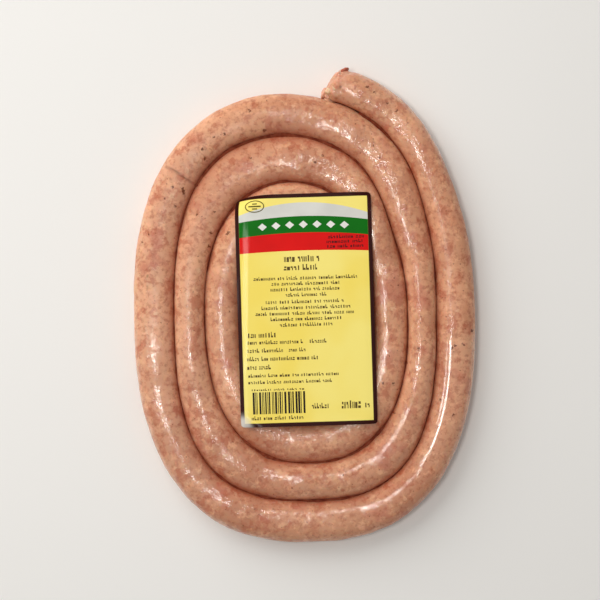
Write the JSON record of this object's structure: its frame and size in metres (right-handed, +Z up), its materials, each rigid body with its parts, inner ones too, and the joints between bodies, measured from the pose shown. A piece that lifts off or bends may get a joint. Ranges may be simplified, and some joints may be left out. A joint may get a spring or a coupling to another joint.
{
  "type": "coiled sausage",
  "caption": "Long raw sausage in a thin natural casing, wound up into a flat oval coil, with a printed card label lying on its middle.",
  "frame": {"origin": "the middle of the coil's box, on the surface that the coil lies on", "axes": "+Y along the coil's long axis towards the sausage's outer end, +Z up out of the flat coil, label on top"},
  "size_m": [0.177, 0.246, 0.02],
  "materials": {
    "casing": "raw minced meat seen through a thin wet natural casing: pinkish tan with pale fat, red lean meat and dark specks of spice, glossy",
    "label_card": "printed card under clear film: yellow field, dark red-brown border, banded header, glossy"
  },
  "bodies": {
    "root": {"sausage": "casing", "label": "label_card"}
  },
  "joints": []
}
